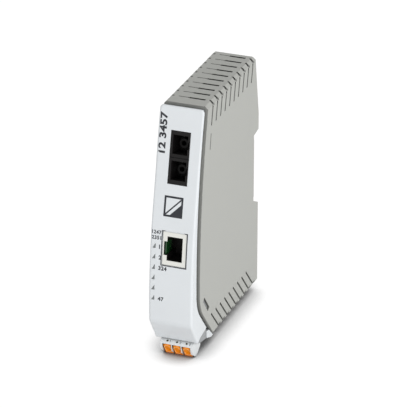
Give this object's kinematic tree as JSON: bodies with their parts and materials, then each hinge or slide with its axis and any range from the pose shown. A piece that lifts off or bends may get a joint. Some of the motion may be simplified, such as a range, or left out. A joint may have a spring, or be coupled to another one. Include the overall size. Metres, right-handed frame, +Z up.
{
  "type": "fibre media converter",
  "caption": "Slim rail-mounted fibre media converter with a curved pale front, a duplex SC port, an RJ45 jack, status lights and a plug-in push-in power connector.",
  "frame": {"origin": "centre of the rail seat, the floor of the rail recess, on the rail's centre line", "axes": "+X to the right seen from the front, +Y from the front towards the rail, +Z up"},
  "size_m": [0.0226, 0.0926, 0.1288],
  "materials": {
    "tub_grey": "fine moulded texture",
    "bezel_pale": "smooth satin",
    "board_green": "solder mask",
    "connector_black": "moulded",
    "ferrule_ceramic": "polished",
    "can_steel": "satin",
    "pin_gold": "bright",
    "pin_tin": "bright",
    "shield_metal": "satin tin plate",
    "clear_guide": "clear",
    "led_white": "diffuse lens",
    "plug_pale": "moulded",
    "lever_orange": "moulded",
    "spring_steel": "bright strip",
    "latch_dark": "moulded",
    "chip_black": "moulded",
    "ferrite_dark": "sintered",
    "fuse_pale": "moulded"
  },
  "bodies": {
    "casing": {"housing": "tub_grey", "front_bezel": "bezel_pale", "main_board": "board_green", "fibre_transceiver": "connector_black", "fibre_sleeve_tx": "ferrule_ceramic", "fibre_sleeve_rx": "ferrule_ceramic", "laser_can": "can_steel", "detector_can": "can_steel", "transceiver_pins": "pin_gold", "jack_shield": "shield_metal", "jack_insert": "connector_black", "jack_contacts": "pin_gold", "light_guide": "clear_guide", "status_leds": "led_white", "power_header": "connector_black", "power_pins": "pin_tin", "latch_spring": "spring_steel", "line_transformer": "chip_black", "converter_chip": "chip_black", "clock_crystal": "can_steel", "regulator_chip": "chip_black", "power_inductor": "ferrite_dark", "filter_capacitors": "can_steel", "input_fuse": "fuse_pale"},
    "plug": {"power_plug": "plug_pale", "clamp_springs": "spring_steel", "current_bars": "pin_tin"},
    "lever_1": {"release_lever_1": "lever_orange"},
    "lever_2": {"release_lever_2": "lever_orange"},
    "lever_3": {"release_lever_3": "lever_orange"},
    "latch": {"rail_latch": "latch_dark"}
  },
  "joints": [
    {"name": "plug_pull", "type": "slide", "parent": "casing", "child": "plug", "axis": [0, -0.829, -0.5592], "range_m": [0, 0.012]},
    {"name": "lever_press_1", "type": "slide", "parent": "plug", "child": "lever_1", "axis": [0, 0.829, 0.5592], "range_m": [0, 0.0012], "stiffness_N_per_m": 3000, "springref_m": -0.001},
    {"name": "lever_press_2", "type": "slide", "parent": "plug", "child": "lever_2", "axis": [0, 0.829, 0.5592], "range_m": [0, 0.0012], "stiffness_N_per_m": 3000, "springref_m": -0.001},
    {"name": "lever_press_3", "type": "slide", "parent": "plug", "child": "lever_3", "axis": [0, 0.829, 0.5592], "range_m": [0, 0.0012], "stiffness_N_per_m": 3000, "springref_m": -0.001},
    {"name": "latch_release", "type": "slide", "parent": "casing", "child": "latch", "axis": [0, 0, -1], "range_m": [0, 0.003], "stiffness_N_per_m": 2500, "springref_m": -0.001, "deforming": ["latch_spring"]}
  ]
}
